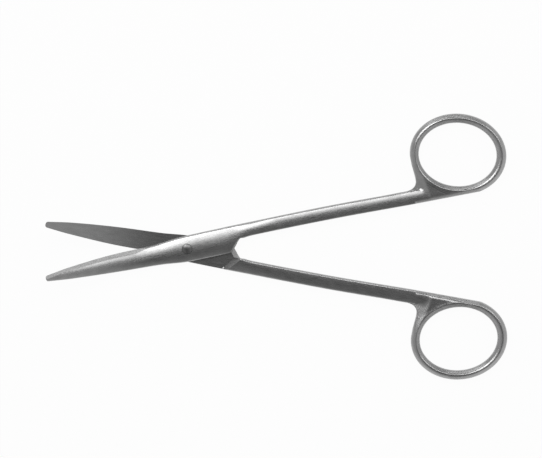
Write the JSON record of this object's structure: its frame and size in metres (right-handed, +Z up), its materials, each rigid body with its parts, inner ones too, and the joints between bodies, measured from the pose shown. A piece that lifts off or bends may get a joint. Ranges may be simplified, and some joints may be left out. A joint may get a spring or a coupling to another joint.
{
  "type": "dissecting scissors",
  "caption": "Slender hand scissors with gently curved, blunt-tipped short blades, a screwed pivot and long slim shanks ending in oval finger rings, for parting and cutting tissue.",
  "frame": {"origin": "middle of the whole object's footprint, on the surface it lies on", "axes": "+X from the blade tips to the finger rings, along the closed scissors; +Y across, to the top half's ring; +Z up, out of the top half's outer face"},
  "size_m": [0.14, 0.0812, 0.0114],
  "materials": {
    "satin_steel": "forged stainless steel, satin ground lengthwise, finely ground inner faces",
    "screw_steel": "dull ground stainless steel"
  },
  "bodies": {
    "bottom": {"bottom_half": "satin_steel", "pivot_screw": "screw_steel"},
    "top": {"top_half": "satin_steel"}
  },
  "joints": [
    {"name": "pivot", "type": "hinge", "parent": "bottom", "child": "top", "pos_m": [-0.02721, 0, 0.0019], "axis": [0, 0, 1], "range_deg": [-21, 99]}
  ]
}
